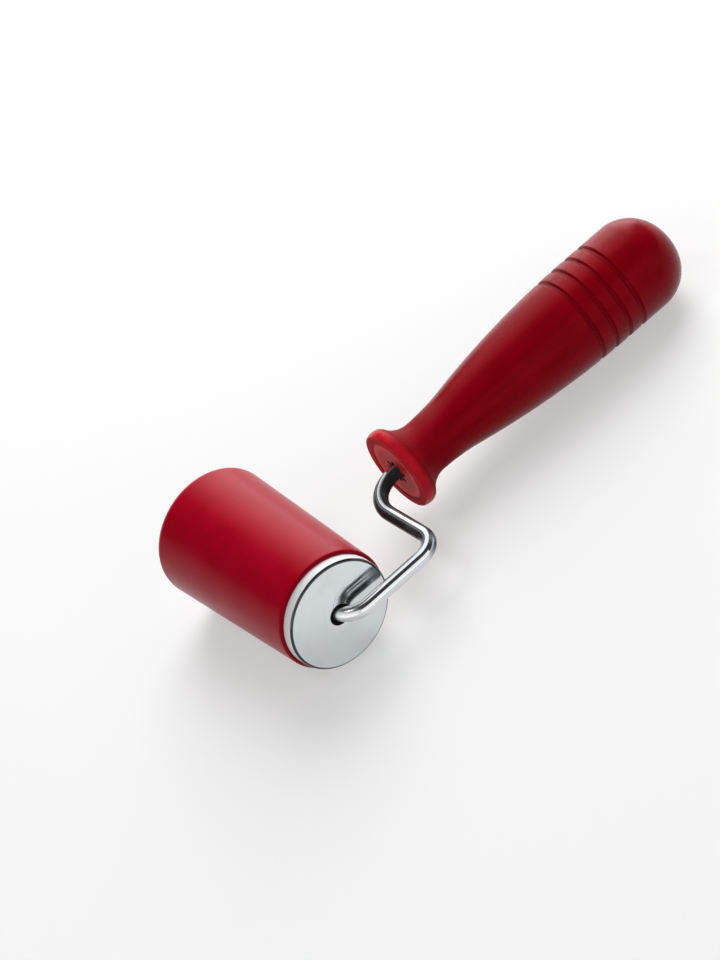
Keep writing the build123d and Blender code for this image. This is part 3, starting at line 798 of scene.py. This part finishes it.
def makeFloor():
    # round floor with an upswept edge: point(row, u) = (reach cos u, reach sin u, height),
    # the height an arc's rise beyond the flat part
    f = floorLook
    t = np.linspace(0, f["rise"], f["sweepRows"])[1:]
    reach = np.concatenate([np.linspace(f["middle"], f["flat"], f["flatRows"]),
                            f["flat"] + f["sweep"] * np.sin(t)])
    height = np.concatenate([np.zeros(f["flatRows"]), f["sweep"] * (1 - np.cos(t))])
    u = np.linspace(0, 2 * np.pi, f["turns"], endpoint=False)
    x, y = reach[:, None] * np.cos(u), reach[:, None] * np.sin(u)
    spots = np.stack(np.broadcast_arrays(x, y, height[:, None]), -1)
    i, j = np.meshgrid(np.arange(len(reach) - 1), np.arange(f["turns"]), indexing="ij")
    here, on = i * f["turns"], (i + 1) * f["turns"]
    nextColumn = (j + 1) % f["turns"]
    quads = np.stack([here + j, on + j, on + nextColumn, here + nextColumn], -1)
    mesh = bpy.data.meshes.new("floor")
    disc = list(range(f["turns"]))
    mesh.from_pydata(spots.reshape(-1, 3).tolist(), [], quads.reshape(-1, 4).tolist() + [disc])
    mesh.polygons.foreach_set("use_smooth", np.ones(len(mesh.polygons), bool))
    floor = bpy.data.objects.new("floor", mesh)
    bpy.context.scene.collection.objects.link(floor)
    mesh.materials.append(paleFloor())


def paleFloor():
    # matt near the tool, where it takes the shadow, and white of its own further out
    look = floorLook
    f = Finish("paleFloor", {"Roughness": look["rough"], "Specular IOR Level": 0.0, "Emission Strength": 1.0})
    seen, glossy, through = (f.add("ShaderNodeLightPath", outlet=name)
                             for name in ("Is Camera Ray", "Is Glossy Ray", "Is Transmission Ray"))
    reach = f.add("ShaderNodeVectorMath", {"operation": "LENGTH"}, {0: f.place}, "Value")
    away = f.between(reach, look["near"], look["far"])
    low = tuple(c - look["patch"] for c in look["colour"])
    matt = f.tint(f.noise(f.place, *look["shade"]), low, look["colour"])
    own = f.tint(away, look["lift"], white)
    f.feed(Base_Color=f.tint(away, matt, black), Emission_Color=f.tint(seen + glossy + through, black, own))
    return f.material


studio = {"dim": 0.05, "lampsFar": 1.2}


def makeRoom():
    # a dim even room
    world = bpy.data.worlds.new("studio")
    world.use_nodes = True
    bpy.context.scene.world = world
    ground = world.node_tree.nodes["Background"]
    ground.inputs["Color"].default_value = (*white, 1)
    ground.inputs["Strength"].default_value = studio["dim"]


lamps = {"backBox": {"way": (0.433, 0.639, 0.639), "wide": 0.9, "high": 1.9, "power": 6.8, "mirrored": True},
         "lowStrip": {"way": (0.55, 0.72, 0.40), "wide": 0.5, "high": 0.8, "power": 2.0, "mirrored": True},
         "keyFill": {"way": (0.55, 0.58, 0.60), "wide": 0.9, "high": 1.2, "power": 16.5, "mirrored": False},
         "frontBox": {"way": (0.15, -0.87, 0.38), "wide": 1.8, "high": 0.8, "power": 5.2, "mirrored": True},
         "leftBox": {"way": (-0.80, -0.38, 0.42), "wide": 1.3, "high": 1.2, "power": 5.4, "mirrored": True},
         "topBox": {"way": (-0.37, 0.09, 0.92), "wide": 0.3, "high": 0.3, "power": 1.5, "mirrored": True}}


def makeLamps():
    # soft boxes round the tool, each turned to its middle
    for name, lamp in lamps.items():
        data = bpy.data.lights.new(name, "AREA")
        data.shape = "RECTANGLE"
        data.size, data.size_y, data.energy = lamp["wide"], lamp["high"], lamp["power"]
        way = Vector(lamp["way"]).normalized()
        light = bpy.data.objects.new(name, data)
        light.location = way * studio["lampsFar"]
        light.rotation_euler = (-way).to_track_quat("-Z", "Y").to_euler()
        light.visible_glossy = lamp["mirrored"]
        bpy.context.scene.collection.objects.link(light)


# the photograph's viewing angle, in degrees, and a long lens
view = {"azimuth": -18.6564, "elevation": 38.7328, "roll": -30.1996, "aim": (-0.029372, 0.013777, 0.015),
        "distance": 1.50931, "lens": 185.625, "sensor": 36.0}


def makeCamera():
    # back points from the aim to the camera, right and up are turned about it by the roll
    a, e, r = (np.radians(view[key]) for key in ("azimuth", "elevation", "roll"))
    back = Vector((np.sin(a) * np.cos(e), -np.cos(a) * np.cos(e), np.sin(e)))
    level = Vector((0, 0, 1)).cross(back).normalized()
    rise = back.cross(level)
    right = level * np.cos(r) + rise * np.sin(r)
    up = back.cross(right)
    data = bpy.data.cameras.new("camera")
    data.lens, data.sensor_width = view["lens"], view["sensor"]
    camera = bpy.data.objects.new("camera", data)
    turn = Matrix((right, up, back)).transposed().to_4x4()
    camera.matrix_world = Matrix.Translation(Vector(view["aim"]) + back * view["distance"]) @ turn
    bpy.context.scene.collection.objects.link(camera)
    bpy.context.scene.camera = camera


makeFloor()
makeRoom()
makeLamps()
makeCamera()
bpy.context.scene.view_settings.view_transform = "Standard"
print("studio set")
